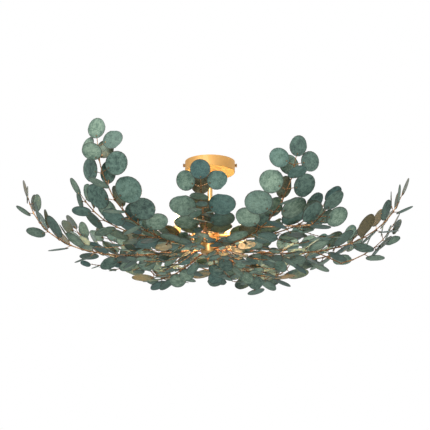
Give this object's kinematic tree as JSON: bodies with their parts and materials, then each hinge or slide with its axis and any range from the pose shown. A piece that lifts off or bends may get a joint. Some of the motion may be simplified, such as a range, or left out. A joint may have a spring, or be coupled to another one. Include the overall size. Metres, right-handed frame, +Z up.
{
  "type": "flush mount ceiling light",
  "caption": "Ceiling light shaped as a bowl of round-leaved metal sprays on a turned hub, lit by small capsule lamps and hung from a round canopy.",
  "frame": {"origin": "centre of the mounting bar's top face, in the plane of the ceiling and on the axis of the canopy", "axes": "+Z up into the ceiling, -Y towards the front that the picture shows, +X to its right along the mounting bar"},
  "size_m": [0.999, 0.8907, 0.2904],
  "materials": {
    "steel": "zinc plated",
    "green_screw": "green dye",
    "raw_brass": "machined",
    "satin_brass": "satin",
    "dark_brass": "antiqued",
    "ceramic": "glazed ceramic",
    "capsule_glass": "clear",
    "patina_brass": "brown patina",
    "verdigris": "mottled verdigris"
  },
  "bodies": {
    "fixture": {"mounting_bar": "steel", "ground_screw": "green_screw", "nipple": "raw_brass", "lock_nut": "steel", "canopy": "satin_brass", "collar": "satin_brass", "stem_tube": "satin_brass", "lamp_hub": "satin_brass", "branch_hub": "satin_brass", "finial": "satin_brass", "lamp_arms": "satin_brass", "lamp_cups": "satin_brass", "lamp_sockets": "ceramic", "branch_01": "patina_brass", "branch_02": "patina_brass", "branch_03": "patina_brass", "branch_04": "patina_brass", "branch_05": "patina_brass", "branch_06": "patina_brass", "branch_07": "patina_brass", "branch_08": "patina_brass", "branch_09": "patina_brass", "branch_10": "patina_brass", "branch_11": "patina_brass", "branch_12": "patina_brass", "leaves_01": "verdigris", "leaves_02": "verdigris", "leaves_03": "verdigris", "leaves_04": "verdigris", "leaves_05": "verdigris", "leaves_06": "verdigris", "leaves_07": "verdigris", "leaves_08": "verdigris", "leaves_09": "verdigris", "leaves_10": "verdigris", "leaves_11": "verdigris", "leaves_12": "verdigris"},
    "left_thumbscrew": {"thumbscrew_left": "dark_brass"},
    "right_thumbscrew": {"thumbscrew_right": "dark_brass"},
    "lamp_1": {"bulb_1": "capsule_glass"},
    "lamp_2": {"bulb_2": "capsule_glass"},
    "lamp_3": {"bulb_3": "capsule_glass"},
    "lamp_4": {"bulb_4": "capsule_glass"},
    "lamp_5": {"bulb_5": "capsule_glass"},
    "lamp_6": {"bulb_6": "capsule_glass"}
  },
  "joints": [
    {"name": "left_thumbscrew_out", "type": "slide", "parent": "fixture", "child": "left_thumbscrew", "axis": [-1, 0, 0], "range_m": [0, 0.008]},
    {"name": "right_thumbscrew_out", "type": "slide", "parent": "fixture", "child": "right_thumbscrew", "axis": [1, 0, 0], "range_m": [0, 0.008]},
    {"name": "lamp_1_pull", "type": "slide", "parent": "fixture", "child": "lamp_1", "axis": [0, 0, 1], "range_m": [0, 0.016]},
    {"name": "lamp_2_pull", "type": "slide", "parent": "fixture", "child": "lamp_2", "axis": [0, 0, 1], "range_m": [0, 0.016]},
    {"name": "lamp_3_pull", "type": "slide", "parent": "fixture", "child": "lamp_3", "axis": [0, 0, 1], "range_m": [0, 0.016]},
    {"name": "lamp_4_pull", "type": "slide", "parent": "fixture", "child": "lamp_4", "axis": [0, 0, 1], "range_m": [0, 0.016]},
    {"name": "lamp_5_pull", "type": "slide", "parent": "fixture", "child": "lamp_5", "axis": [0, 0, 1], "range_m": [0, 0.016]},
    {"name": "lamp_6_pull", "type": "slide", "parent": "fixture", "child": "lamp_6", "axis": [0, 0, 1], "range_m": [0, 0.016]}
  ]
}
